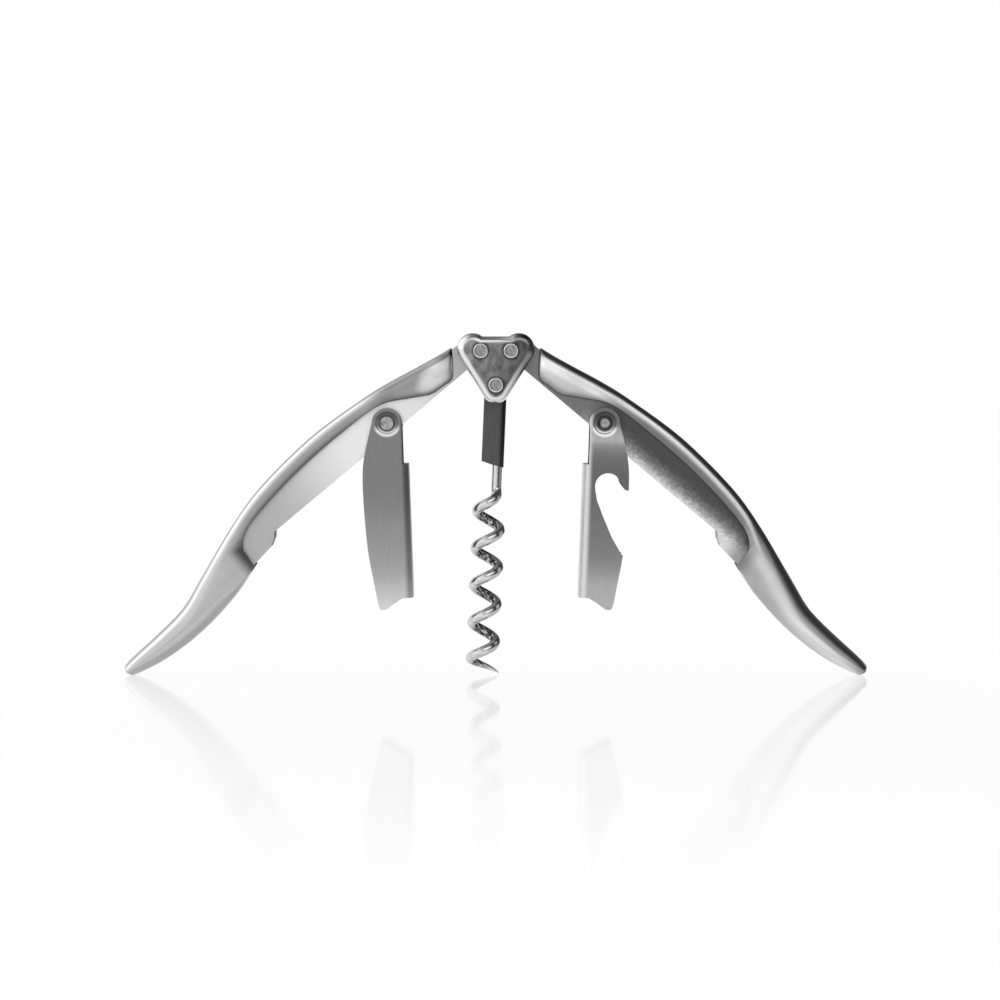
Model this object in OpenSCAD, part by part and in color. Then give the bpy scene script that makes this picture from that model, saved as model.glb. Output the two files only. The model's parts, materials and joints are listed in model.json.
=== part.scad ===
// Twin-lever corkscrew with two spread handles, two folding bottle rests and a hanging worm.
// Millimetres. X runs along the span, Y is the depth and Z is up from the table.
// A handle, a lever and the worm are each drawn in a frame of their own, with the pivot at
// its origin, and are then turned and moved to the place where they hang or spread at rest.

/* [Head] */
// Distance between the two handle hinges
hinge_spacing = 7.7; // [7.5:0.1:8.4]
// How far the rivet of the worm lies below the hinges
worm_drop = 8.7; // [8.3:0.1:10]
// Thickness of each head cover
cover_t = 2.4; // [2:0.1:3]
// Radius of the rounded outer edge of a cover
cover_edge_r = 2.1; // [0.8:0.1:2.4]
// Radius of the two upper corners of a cover
lobe_r = 4; // [3.8:0.1:4.3]
// How far an upper corner's centre lies outside its hinge
lobe_out = 2; // [1.6:0.1:2.3]
// How far an upper corner's centre lies above its hinge
lobe_up = 0.5; // [0.2:0.1:0.8]
// How far the flat between the upper corners lies below their tops
lobe_dip = 0.85; // [0.4:0.05:1.2]
// Radius of the lower end of a cover
foot_r = 3.6; // [3.2:0.1:4]
// How far the lower end's centre lies below the rivet of the worm
foot_drop = 1.1; // [0.6:0.1:1.6]

/* [Rivets and bushes] */
// Diameter of the rivet shanks in the head
rivet_d = 2.8; // [2.4:0.1:3.2]
// Diameter of the rivet heads on the covers
rivet_head_d = 3.7; // [3.5:0.1:4.4]
// Height of all rivet heads
rivet_head_h = 0.6; // [0.4:0.1:0.9]
// Diameter of the bushes that keep the cheeks of a handle apart at its hinge
hinge_bush_d = 6; // [5:0.1:6.6]
// Diameter of the collars that centre the worm between the covers
collar_d = 6; // [5:0.1:6.4]
// Diameter of the lever rivets
pivot_d = 2.4; // [2:0.1:2.8]
// Diameter of the lever rivet heads
pivot_head_d = 3.6; // [3.2:0.1:4]
// Diameter of the bushes on the lever rivets
pivot_bush_d = 4.4; // [4:0.1:5]

/* [Handles] */
// Angle of a handle below the horizontal at rest
handle_angle = 40; // [36:1:44]
// Length of a handle from its hinge to its tip
handle_len = 122.6; // [118:0.2:130]
// Depth of a handle over its shell
handle_w = 14.6; // [14.4:0.1:15.4]
// Depth of the tip of a handle
tip_w = 9.6; // [8:0.2:11]
// Thickness of the tip of a handle, seen from the front
tip_h = 3.6; // [3:0.1:4.2]
// Distance from the hinge to the near end of the shell
shell_start = 5.4; // [5.3:0.1:6]
// Distance from the hinge to the far end of the recess
recess_end = 79.5; // [78.5:0.5:83]
// Height of the spine of a handle over its hinge line
spine_rise = 10.95; // [10.6:0.05:12]
// Height of the band between the spine and the recess
band_h = 4.3; // [3.6:0.1:4.6]
// How far the grip drops below the hinge line
grip_drop = 9.2; // [8.5:0.1:10]
// Thickness of the shell over the spine of the liner
shell_t = 1.5; // [1.2:0.1:1.8]
// Clear depth between the cheeks of the liner
cheek_gap = 9.2; // [9.1:0.1:9.6]
// Thickness of the liner's sheet
liner_t = 1.2; // [1:0.1:1.3]
// Radius of the liner's hinge eyes
eye_r = 3.55; // [3.2:0.05:3.6]
// Height of the liner's neck above the hinge line
neck_top = 4.9; // [4.4:0.1:5]
// How far the straight lower edge of the cheeks lies below the hinge line
cheek_low = 1.5; // [1.2:0.1:1.6]
// Depth of the step in the lower edge of the cheeks
step_h = 2.3; // [1.5:0.1:2.6]

/* [Levers] */
// Distance from the hinge to the lever pivot, along the handle
pivot_along = 30.1; // [29.5:0.1:31]
// Height of the lever pivot over the hinge line
pivot_up = 1.25; // [1.1:0.05:1.5]
// Lean of the hanging levers from the plumb line
lever_lean = 2.1; // [1.5:0.1:3]
// Radius of the lever's ears
ear_r = 3.85; // [3.6:0.05:4]
// Thickness of the lever's sheet
lever_t = 1.2; // [1:0.05:1.3]
// Distance from the pivot to the outer face of the lever's web
web_out = 5; // [4.8:0.1:5.2]
// Distance from the pivot to the top of the web
web_top = 10.65; // [10.6:0.05:12]
// Distance from the pivot to the lower end of the web
web_end = 44.7; // [43:0.1:46]
// How far the claws reach beyond the web
claw_h = 2.8; // [2:0.1:3]
// Greatest distance of the curved edge from the line through the pivot
belly = 6.7; // [6:0.05:6.75]
// Outer radius of the two bends
bend_r = 2; // [1.4:0.1:2.4]
// Radius of the pressed dish around a lever rivet
dish_r = 2.9; // [2.5:0.1:3.1]
// Depth of that dish
dish_depth = 0.3; // [0.2:0.05:0.4]
// Radius of the throat of the bottle opener
throat_r = 3.3; // [3:0.1:3.5]
// Distance from the pivot to the centre of the throat, down the lever
throat_down = 16; // [15.6:0.1:17]

/* [Worm] */
// Outer diameter of the coil
worm_d = 8.7; // [8.3:0.1:8.9]
// Diameter of the wire
wire_d = 2.6; // [2.3:0.05:2.65]
// Rise of one turn
worm_pitch = 9.55; // [9:0.05:9.7]
// Number of turns, down to the point
worm_turns = 4.85; // [4.5:0.05:4.9]
// How much further the coil turns over its ground point
point_curl = 0.13; // [0:0.01:0.2]
// Distance from the rivet of the worm to the start of the coil
coil_start = 27.7; // [27:0.1:28]
// Lean of the hanging worm from the plumb line
worm_lean = 2.4; // [0:0.1:2.6]
// Width of the tang
tang_w = 5.7; // [5.6:0.1:6.2]
// Thickness of the tang
tang_t = 3.3; // [3.2:0.1:3.8]
// Distance from the rivet of the worm to the lower end of the tang
tang_len = 20.2; // [18:0.1:21]
// How far the worm's shank reaches up into the tang
shank_in = 9; // [6:0.5:12]

/* [Fits] */
// Side play between riveted plates
play = 0.12; // [0.08:0.01:0.15]
// Radial play of the rivets in their holes
hole_play = 0.05; // [0.03:0.01:0.08]

/* [Hidden] */
$fn = 48;

// Half depths of the stack, from the middle outwards
cheek_in = cheek_gap / 2;
cheek_out = cheek_in + liner_t;
plate_in = cheek_out + play;
ear_out = plate_in + lever_t;
cover_out = plate_in + cover_t;
shell_out = handle_w / 2;

// Hinges and pivots
hinge_x = hinge_spacing / 2;
hole_r = rivet_d / 2 + hole_play;
pivot_hole_r = pivot_d / 2 + hole_play;

// ---- curves ----------------------------------------------------------------------------

// One point of a smooth curve through b and c, with a and d as its neighbours
function bend_point(a, b, c, d, t) =
  0.5 * (2 * b + (c - a) * t + (2 * a - 5 * b + 4 * c - d) * t * t
    + (3 * b - a - 3 * c + d) * t * t * t);

// A smooth curve through the points p, in n steps from each point to the next
function smooth_line(p, n = 5) =
  let (last = len(p) - 1)
  concat(
    [for (i = [0:last - 1], k = [0:n - 1])
      bend_point(p[max(i - 1, 0)], p[i], p[i + 1], p[min(i + 2, last)], k / n)],
    [p[last]]);

// Points on an arc about c, from angle a0 to angle a1
function arc(c, r, a0, a1, n) =
  [for (i = [0:n]) let (a = a0 + (a1 - a0) * i / n) c + r * [cos(a), sin(a)]];

// An even step from 0 to 1 between x0 and x1, with soft ends
function ease(x, x0, x1) =
  let (t = min(max((x - x0) / (x1 - x0), 0), 1)) t * t * (3 - 2 * t);

// Place s of the way from a to b
function part_way(a, b, s) = a + (b - a) * s;

// ---- handle outline, with the hinge at the origin and X along the handle ---------------

// Stations that the outline hangs on: the far end of the leaf, the crown and the grip
leaf_end = pivot_along;
function along_leaf(s) = part_way(shell_start, leaf_end, s);
function along_recess(s) = part_way(leaf_end, recess_end, s);
function along_grip(s) = part_way(recess_end, handle_len, s);

// Height of the tip's middle
tip_mid = -0.5 * grip_drop;

// Spine, from the leaf over the crown and down to the tip
spine = smooth_line([
  [along_leaf(0), 0.5 * spine_rise],
  [along_leaf(0.15), 0.55 * spine_rise],
  [along_leaf(0.4), 0.66 * spine_rise],
  [along_leaf(0.7), 0.8 * spine_rise],
  [along_leaf(1), 0.9 * spine_rise],
  [along_recess(0.28), spine_rise],
  [along_recess(0.48), 0.98 * spine_rise],
  [along_recess(0.7), 0.88 * spine_rise],
  [along_recess(0.84), 0.755 * spine_rise],
  [along_recess(1), 0.54 * spine_rise],
  [along_grip(0.12), 0.375 * spine_rise],
  [along_grip(0.32), 0.1 * spine_rise],
  [along_grip(0.5), tip_mid + 0.85 * tip_h],
  [along_grip(0.7), tip_mid + 0.62 * tip_h],
  [along_grip(0.9), tip_mid + 0.52 * tip_h],
  [along_grip(1), tip_mid + 0.42 * tip_h]]);

// Lower border of the shell: round the leaf, along the band, round the recess's end
crown_low = spine_rise - band_h;
border = smooth_line([
  [along_leaf(0), 0.45 * spine_rise],
  [along_leaf(0.03), 0.34 * spine_rise],
  [along_leaf(0.09), 0.15 * spine_rise],
  [along_leaf(0.19), 0.6 - cheek_low],
  [along_leaf(0.32), 0.75 - cheek_low],
  [along_leaf(0.45), 0.95 - cheek_low],
  [along_leaf(0.56), 2.4 - cheek_low],
  [along_leaf(0.69), 0.42 * crown_low],
  [along_leaf(0.83), 0.74 * crown_low],
  [along_leaf(0.97), 0.92 * crown_low],
  [along_recess(0.08), 0.99 * crown_low],
  [along_recess(0.2), crown_low + 0.05],
  [along_recess(0.33), crown_low + 0.1],
  [along_recess(0.49), 0.97 * crown_low],
  [along_recess(0.66), 0.86 * crown_low],
  [along_recess(0.78), 0.73 * crown_low],
  [along_recess(0.87), 0.6 * crown_low],
  [along_recess(0.93), 0.44 * crown_low],
  [along_recess(0.975), 0.18 * crown_low],
  [along_recess(0.995), -0.09 * crown_low]]);

// Lower edge of the grip, from the recess to the tip
step_low = -cheek_low - step_h;
grip_low = smooth_line([
  [along_grip(0), step_low - 1.1],
  [along_grip(0.08), step_low - 2.2],
  [along_grip(0.19), -0.81 * grip_drop],
  [along_grip(0.39), -0.96 * grip_drop],
  [along_grip(0.58), -grip_drop],
  [along_grip(0.76), -0.94 * grip_drop],
  [along_grip(0.9), -0.81 * grip_drop],
  [along_grip(1), tip_mid - 0.45 * tip_h]]);

function spine_at(a) = lookup(a, spine);
function low_at(a) = a < recess_end ? lookup(a, border) : lookup(a, grip_low);

// Half depth of the shell: it swells out of the neck and narrows towards the tip
function depth_at(a) = lookup(a, [
  [shell_start, cheek_out + 0.45],
  [along_leaf(0.12), cheek_out + 1.05],
  [along_leaf(0.32), shell_out],
  [along_grip(0.2), shell_out],
  [along_grip(0.6), part_way(shell_out, tip_w / 2, 0.4)],
  [handle_len, tip_w / 2]]);

// Roundness of the shell at the spine and at its lower border, as [depth, height]
function spine_round(a, h) = [
  part_way(2.6, 4.2, ease(a, recess_end, along_grip(0.4))),
  min(part_way(2.3, 3.6, ease(a, recess_end, along_grip(0.4))), 0.48 * h)];
function low_round(a, h) =
  let (leaf = 1 - ease(a, along_leaf(0.55), along_leaf(1)),
    grip = ease(a, recess_end, along_grip(0.35)))
  [0.35 + 1 * leaf + 3.6 * grip,
    min(0.35 + 3.2 * leaf + 3 * grip, 0.48 * h)];

// ---- shell: a skin over cross-sections ---------------------------------------------------

round_n = 6;

// One quarter of a section's outline, about its corner's centre
function corner(y, z, r, a0, a1) =
  [for (i = [0:round_n]) let (a = part_way(a0, a1, i / round_n))
    [y + r[0] * cos(a), z + r[1] * sin(a)]];

// A section at distance a from the hinge, drawn in by the factor s about its middle
function section(a, s = 1) =
  let (
    top = spine_at(a),
    low = low_at(a),
    mid = (top + low) / 2,
    h = (top - low) * s,
    w = depth_at(a) * (0.35 + 0.65 * s),
    rt = spine_round(a, h),
    rl = low_round(a, h))
  concat(
    corner(w - rt[0], mid + h / 2 - rt[1], rt, 0, 90),
    corner(rt[0] - w, mid + h / 2 - rt[1], rt, 90, 180),
    corner(rl[0] - w, mid - h / 2 + rl[1], rl, 180, 270),
    corner(w - rl[0], mid - h / 2 + rl[1], rl, 270, 360));

// Where the sections stand, closer together where the border turns
leaf_steps = 18;
recess_steps = 19;
grip_steps = 16;
crowding = 1.5;
stations = concat(
  [for (i = [0:leaf_steps - 1]) along_leaf(pow(i / leaf_steps, crowding))],
  [for (i = [0:recess_steps - 1]) along_recess(1 - pow(1 - i / recess_steps, crowding))],
  [for (i = [0:grip_steps - 1]) along_grip(i / grip_steps)]);

// The tip is rounded off over the last sections
tip_round = 0.03 * (handle_len - recess_end);
tip_steps = 4;
shell_rings = concat(
  [for (a = stations) [for (p = section(a)) [a, p[0], p[1]]]],
  [for (k = [1:tip_steps]) let (t = 90 * k / (tip_steps + 0.6),
    a = handle_len - tip_round * (1 - sin(t)))
    [for (p = section(a, cos(t))) [a, p[0], p[1]]]]);

// Middle of the box around a ring
function middle(ring) = [for (k = [0:2])
  (min([for (p = ring) p[k]]) + max([for (p = ring) p[k]])) / 2];

// Solid from closed rings of equal length, with its two ends closed from their middles
module skin(rings) {
  m = len(rings[0]);
  last = len(rings) - 1;
  points = concat([for (r = rings, p = r) p], [middle(rings[0]), middle(rings[last])]);
  start = (last + 1) * m;
  faces = concat(
    [for (i = [0:last - 1], j = [0:m - 1], k = [0:1]) let (n = (j + 1) % m)
      k == 0 ? [i * m + j, (i + 1) * m + j, (i + 1) * m + n]
        : [i * m + j, (i + 1) * m + n, i * m + n]],
    [for (j = [0:m - 1]) [start, j, (j + 1) % m]],
    [for (j = [0:m - 1]) [start + 1, last * m + (j + 1) % m, last * m + j]]);
  polyhedron(points, faces, convexity = 6);
}

// A flat plate with the given side outline, from depth y0 to depth y1
module plate(outline, y0, y1) {
  translate([0, y1, 0])
    rotate([90, 0, 0])
      linear_extrude(y1 - y0)
        polygon(outline);
}

// A rod across the object at x, z
module cross_rod(x, z, r, y0, y1) {
  translate([x, y1, z])
    rotate([90, 0, 0])
      cylinder(r = r, h = y1 - y0);
}

// ---- liner: a folded channel inside the shell -------------------------------------------

web_start = shell_start + 2.4;
liner_end = recess_end + 2;
// Top of the liner, under the shell, raised by s
function liner_top(s) = concat(
  [[0, neck_top + s], [web_start, neck_top + s]],
  [for (p = spine) if (p[0] > along_leaf(0.3) && p[0] < liner_end - 2.5)
    [p[0], p[1] - shell_t + s]],
  [[liner_end + s, spine_at(liner_end) - shell_t - 0.4 + s]]);
liner_low = [[liner_end, step_low - 1], [recess_end - 6.5, step_low],
  [recess_end - 8, step_low + 0.9], [recess_end - 8.2, step_low + 0.9],
  [recess_end - 9.5, -cheek_low], [0, -cheek_low]];

module liner() {
  difference() {
    union() {
      plate(concat(liner_top(0), liner_low), -cheek_out, cheek_out);
      cross_rod(0, 0, eye_r, -cheek_out, cheek_out);
    }
    plate(concat([[-2 * eye_r, 2 * neck_top], [web_start, 2 * neck_top],
      [web_start, neck_top - liner_t]],
      [for (p = liner_top(-liner_t)) if (p[0] > web_start && p[0] < recess_end) p],
      [[liner_end + 1, spine_at(liner_end) - shell_t - 1 - liner_t],
      [liner_end + 1, -2 * grip_drop], [-2 * eye_r, -2 * grip_drop]]),
      -cheek_in, cheek_in);
    cross_rod(0, 0, hole_r, -handle_w, handle_w);
    cross_rod(pivot_along, pivot_up, pivot_hole_r, -handle_w, handle_w);
  }
}

seat = 0.04;
module shell() {
  difference() {
    skin(shell_rings);
    plate(concat([[-eye_r, neck_top + seat]], liner_top(seat),
      [[liner_end + seat, -2 * grip_drop], [-eye_r, -2 * grip_drop]]),
      -cheek_out - seat, cheek_out + seat);
  }
}

// How far the spread handles and the hanging worm reach below the hinges
handle_reach = max([for (ring = shell_rings, p = ring)
  p[0] * sin(handle_angle) - p[2] * cos(handle_angle)]);
worm_reach = worm_drop + coil_start + worm_pitch * worm_turns;
// Height of the hinges: the handles stand on the table and the worm just clears it
hinge_z = max(handle_reach, worm_reach + 0.3);
worm_z = hinge_z - worm_drop;
pivot_x = hinge_x + pivot_along * cos(handle_angle) + pivot_up * sin(handle_angle);
pivot_z = hinge_z - pivot_along * sin(handle_angle) + pivot_up * cos(handle_angle);
echo(hinge_z = hinge_z, pivot_x = pivot_x, pivot_z = pivot_z, worm_z = worm_z);

module on_hinge() {
  translate([hinge_x, 0, hinge_z])
    rotate([0, handle_angle, 0])
      children();
}

module on_pivot() {
  translate([pivot_x, 0, pivot_z])
    rotate([0, lever_lean, 0])
      children();
}

module left() {
  mirror([1, 0, 0])
    children();
}

// ---- levers, with the pivot at the origin, hanging down and the web towards -X -----------

ear_edge = web_out - 1.4;
claw_end = web_end + claw_h;
// Side outline: down the ears and the web, round the claw and up the curved edge
lever_outline = concat(
  [[-ear_edge, 0], [-ear_edge, -web_top], [-web_out, -web_top], [-web_out, -web_end],
    [-0.48 * web_out, -web_end], [0.2, -web_end - 0.55 * claw_h]],
  smooth_line([
    [1.9, -claw_end + 0.05],
    [3.2, -claw_end],
    [0.57 * belly, -claw_end + 1.1],
    [0.67 * belly, -0.95 * web_end],
    [0.9 * belly, -0.72 * web_end],
    [belly, -0.44 * web_end],
    [0.975 * belly, -0.25 * web_end],
    [0.8 * belly, -0.12 * web_end],
    [ear_r, 0]], 3));

// Bar along Z from the face at x on, 2 * y deep, with its two edges at x rounded
module round_bar(x, y, r, h) {
  translate([x + r, -y, 0])
    cube([3 * belly, 2 * y, h]);
  translate([x, r - y, 0])
    cube([3 * belly, 2 * (y - r), h]);
  for (s = [-1, 1])
    translate([x + r, s * (y - r), 0])
      cylinder(r = r, h = h);
}

// Bent channel: the web with its two rounded bends, and the sides that carry the ears
module channel() {
  long = claw_end + 2 * ear_r + 2;
  translate([0, 0, -claw_end - 1])
    difference() {
      round_bar(-web_out, ear_out, bend_r, long);
      translate([0, 0, -1])
        round_bar(lever_t - web_out, plate_in, bend_r - lever_t, long + 2);
      translate([-2 * web_out, -plate_in, claw_end + 1 - web_top])
        cube([4 * web_out, 2 * plate_in, long]);
    }
}

module lever_blank() {
  difference() {
    intersection() {
      union() {
        plate(lever_outline, -ear_out, ear_out);
        cross_rod(0, 0, ear_r, -ear_out, ear_out);
      }
      channel();
    }
    cross_rod(0, 0, pivot_hole_r, -handle_w, handle_w);
    for (s = [-1, 1])
      translate([0, s * (ear_out - dish_depth), 0])
        rotate([-90 * s, 0, 0])
          cylinder(r1 = dish_r - dish_depth, r2 = dish_r + dish_depth, h = 2 * dish_depth);
  }
}

// Bottle opener: a round throat behind a hook, and a ramp down to the curved edge
throat_x = 1.45;
module opener_cut() {
  cross_rod(throat_x, -throat_down, throat_r, -handle_w, handle_w);
  plate([
    [throat_x + 0.98 * throat_r, -throat_down + 0.2 * throat_r],
    [throat_x + 1.1 * throat_r, -throat_down],
    [throat_x + 1.33 * throat_r, -throat_down - 0.85],
    [2 * belly, -throat_down - 1.6],
    [2 * belly, -0.77 * web_end],
    [belly - 1.1, -0.748 * web_end],
    [0.43 * belly, -0.65 * web_end],
    [0.06 * belly, -0.53 * web_end],
    [throat_x - 0.82 * throat_r, -0.44 * web_end],
    [throat_x - throat_r + 0.02, -throat_down - 0.9]],
    -handle_w, handle_w);
}

// ---- head --------------------------------------------------------------------------------

lobe_x = hinge_x + lobe_out;
lobe_z = lobe_up;
foot_z = -worm_drop - foot_drop;
edge_n = 4;

// Outline of a cover about the middle of its hinges, drawn in by s
function cover_outline(s) =
  let (
    dip = asin((lobe_r - lobe_dip - s) / (lobe_r - s)),
    fall = atan2(lobe_z - foot_z, lobe_x),
    side = 90 - fall + asin((lobe_r - foot_r) / norm([lobe_x, lobe_z - foot_z])))
  concat(
    arc([lobe_x, lobe_z], lobe_r - s, 180 - dip, -side, 12),
    arc([0, foot_z], foot_r - s, -side, side - 180, 8),
    arc([-lobe_x, lobe_z], lobe_r - s, side + 180, dip, 12));

module cover() {
  r = min(cover_edge_r, cover_t - 0.2);
  levels = concat([[0.15, 0], [0, 0.15]],
    [for (k = [0:edge_n]) let (a = 90 * k / edge_n)
      [r * (1 - cos(a)), cover_t - r + r * sin(a)]]);
  difference() {
    translate([0, plate_in, 0])
      skin([for (l = levels) [for (p = cover_outline(l[0])) [p[0], l[1], p[1]]]]);
    for (s = [-1, 1])
      cross_rod(s * hinge_x, 0, hole_r, 0, 2 * cover_out);
    cross_rod(0, -worm_drop, hole_r, 0, 2 * cover_out);
  }
}

// A rivet across the object, with both heads formed: shank radius, head radius, seat depth
module rivet(shank, head, seat_y) {
  top = seat_y + rivet_head_h;
  soft = 0.4 * rivet_head_h;
  rotate([90, 0, 0])
    rotate_extrude()
      polygon([[0, -top], [head - 1.2 * soft, -top], [head - 0.35 * soft, -top + 0.35 * soft],
        [head, -top + 1.2 * soft], [head, -seat_y], [shank, -seat_y], [shank, seat_y],
        [head, seat_y], [head, top - 1.2 * soft], [head - 0.35 * soft, top - 0.35 * soft],
        [head - 1.2 * soft, top], [0, top]]);
}

module tube(outer, inner, y0, y1) {
  difference() {
    cross_rod(0, 0, outer, y0, y1);
    cross_rod(0, 0, inner, y0 - 1, y1 + 1);
  }
}

module at_hinge() {
  translate([hinge_x, 0, hinge_z])
    children();
}

module at_worm() {
  translate([0, 0, worm_z])
    children();
}

// ---- worm, with its rivet at the origin and the point down --------------------------------

coil_r = (worm_d - wire_d) / 2;
shank_x = tang_w / 2 - tang_t / 2;
coil_x = -0.45;
shank_r = shank_x - coil_x;
soft_bend = 1.6;
coil_len = worm_pitch * worm_turns;
point_len = 0.8 * worm_pitch;
wire_sides = 10;
turn_steps = 20;

// How far along the ground point the depth w lies, from 0 to 1
function at_point(w) = max((w - coil_start - coil_len + point_len) / point_len, 0);
// Angle about the coil's axis at the depth w: still in the shank, then one turn a pitch
function coil_angle(w) =
  let (d = w - coil_start, e = soft_bend)
  -360 / worm_pitch * (d < -e ? 0 : d < e ? (d + e) * (d + e) / (4 * e) : d)
    - 360 * point_curl * pow(at_point(w), 2);
// The ground point keeps to the outside of the coil
function coil_radius(w) =
  part_way(shank_r, coil_r, ease(w, coil_start - soft_bend, coil_start + worm_pitch / 2))
    + wire_d / 2 - wire_r(w);
function wire_point(w) =
  let (a = coil_angle(w), r = coil_radius(w))
  [coil_x + r * cos(a), r * sin(a), -w];
// The wire thins to a point at the end of the coil
function wire_r(w) = wire_d / 2 * max(1 - pow(at_point(w), 1.6), 0.07);

wire_depths = concat(
  [tang_len - shank_in, tang_len, coil_start - soft_bend - 0.3],
  [for (k = [0:5]) coil_start - soft_bend + 2 * soft_bend * k / 6],
  [for (k = [0:floor((coil_len - soft_bend) / worm_pitch * turn_steps) - 1])
    coil_start + soft_bend + k * worm_pitch / turn_steps],
  [coil_start + coil_len]);

// A ring of the wire, square to its run
function wire_ring(w) =
  let (
    a = coil_angle(w),
    run = wire_point(w + 0.05) - wire_point(w - 0.05),
    t = run / norm(run),
    out = [cos(a), sin(a), 0],
    n0 = out - t * (out * t),
    n = n0 / norm(n0),
    m = cross(t, n))
  [for (k = [0:wire_sides - 1]) let (q = 360 * k / wire_sides)
    wire_point(w) + wire_r(w) * (cos(q) * n + sin(q) * m)];

// Least gap of the wire to itself, over points at least half a turn apart
wire_gap = min([for (i = [0:len(wire_depths) - 1], j = [0:len(wire_depths) - 1])
  if (wire_depths[j] > wire_depths[i] + worm_pitch / 2)
    norm(wire_point(wire_depths[i]) - wire_point(wire_depths[j]))
      - wire_r(wire_depths[i]) - wire_r(wire_depths[j])]);
echo(least_gap_of_the_worm_wire = wire_gap);

module on_worm() {
  at_worm()
    rotate([0, worm_lean, 0])
      children();
}

// ---- nodes -------------------------------------------------------------------------------

module head_cover_front() {
  color("silver")
    translate([0, 0, hinge_z])
      mirror([0, 1, 0])
        cover();
}

module head_cover_rear() {
  color("silver")
    translate([0, 0, hinge_z])
      cover();
}

module right_hinge_rivet() {
  color("lightgray")
    at_hinge()
      rivet(rivet_d / 2, rivet_head_d / 2, cover_out);
}

module left_hinge_rivet() {
  left()
    right_hinge_rivet();
}

module worm_rivet() {
  color("lightgray")
    at_worm()
      rivet(rivet_d / 2, rivet_head_d / 2, cover_out);
}

module right_hinge_bush() {
  color("gray")
    at_hinge()
      tube(hinge_bush_d / 2, hole_r, play - cheek_in, cheek_in - play);
}

module left_hinge_bush() {
  left()
    right_hinge_bush();
}

module worm_collar_rear() {
  color("gray")
    at_worm()
      tube(collar_d / 2, hole_r, tang_t / 2 + play, plate_in);
}

module worm_collar_front() {
  mirror([0, 1, 0])
    worm_collar_rear();
}

module right_handle_shell() {
  color("darkgray")
    on_hinge()
      shell();
}

module left_handle_shell() {
  left()
    right_handle_shell();
}

module right_handle_liner() {
  color("gainsboro")
    on_hinge()
      liner();
}

module left_handle_liner() {
  left()
    right_handle_liner();
}

module left_lever() {
  color("gray")
    left()
      on_pivot()
        lever_blank();
}

module right_lever() {
  color("gray")
    on_pivot()
      difference() {
        lever_blank();
        opener_cut();
      }
}

module right_lever_rivet() {
  color("lightgray")
    on_pivot()
      rivet(pivot_d / 2, pivot_head_d / 2, ear_out - dish_depth + hole_play);
}

module left_lever_rivet() {
  left()
    right_lever_rivet();
}

module right_lever_bush() {
  color("gray")
    on_pivot()
      tube(pivot_bush_d / 2, pivot_hole_r, play - cheek_in, cheek_in - play);
}

module left_lever_bush() {
  left()
    right_lever_bush();
}

module worm_tang() {
  long = 3 * tang_len;
  color("dimgray")
    on_worm()
      difference() {
        intersection() {
          union() {
            plate([[-tang_w / 2, 0], [tang_w / 2, 0], [tang_w / 2, -tang_len - 0.9],
              [0, -tang_len - 0.3], [-tang_w / 2, -tang_len + 0.6]], -tang_t, tang_t);
            cross_rod(0, 0, tang_w / 2, -tang_t, tang_t);
          }
          union() {
            translate([-tang_w, -tang_t / 2, -long / 2])
              cube([tang_w + shank_x, tang_t, long]);
            translate([shank_x, 0, -long / 2])
              cylinder(r = tang_t / 2, h = long);
          }
        }
        cross_rod(0, 0, hole_r, -tang_t, tang_t);
        translate([shank_x, 0, -tang_len - 2])
          cylinder(r = wire_d / 2 + seat, h = shank_in + 2 + seat);
      }
}

module worm_screw() {
  color("lightgray")
    on_worm()
      skin([for (w = wire_depths) wire_ring(w)]);
}

head_cover_front();
head_cover_rear();
left_hinge_rivet();
right_hinge_rivet();
worm_rivet();
left_hinge_bush();
right_hinge_bush();
worm_collar_front();
worm_collar_rear();
left_handle_shell();
right_handle_shell();
left_handle_liner();
right_handle_liner();
left_lever();
right_lever();
left_lever_rivet();
right_lever_rivet();
left_lever_bush();
right_lever_bush();
worm_tang();
worm_screw();
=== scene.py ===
import bpy
import json
from math import radians, cos, sin, pi
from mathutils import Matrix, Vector

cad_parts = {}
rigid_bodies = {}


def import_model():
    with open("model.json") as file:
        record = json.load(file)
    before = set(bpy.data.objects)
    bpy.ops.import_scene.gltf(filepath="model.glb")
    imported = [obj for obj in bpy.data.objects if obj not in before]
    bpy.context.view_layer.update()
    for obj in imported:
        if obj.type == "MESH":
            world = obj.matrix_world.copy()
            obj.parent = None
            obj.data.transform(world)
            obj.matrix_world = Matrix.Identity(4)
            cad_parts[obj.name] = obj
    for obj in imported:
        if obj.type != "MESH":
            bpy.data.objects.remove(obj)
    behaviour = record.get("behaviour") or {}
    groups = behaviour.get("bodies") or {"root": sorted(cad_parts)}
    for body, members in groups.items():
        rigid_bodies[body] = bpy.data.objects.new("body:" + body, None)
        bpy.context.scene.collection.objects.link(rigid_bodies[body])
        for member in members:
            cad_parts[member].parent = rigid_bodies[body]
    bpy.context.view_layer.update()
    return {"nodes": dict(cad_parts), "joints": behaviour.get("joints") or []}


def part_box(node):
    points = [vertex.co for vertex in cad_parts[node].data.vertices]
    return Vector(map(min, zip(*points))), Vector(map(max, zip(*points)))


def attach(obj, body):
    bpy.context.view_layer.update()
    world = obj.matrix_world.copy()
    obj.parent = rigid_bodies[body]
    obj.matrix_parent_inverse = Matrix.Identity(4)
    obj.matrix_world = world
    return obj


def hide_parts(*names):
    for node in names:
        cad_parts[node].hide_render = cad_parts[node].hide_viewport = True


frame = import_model()
nodes = frame["nodes"]
joints = {joint["name"]: joint for joint in frame["joints"]}


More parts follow.
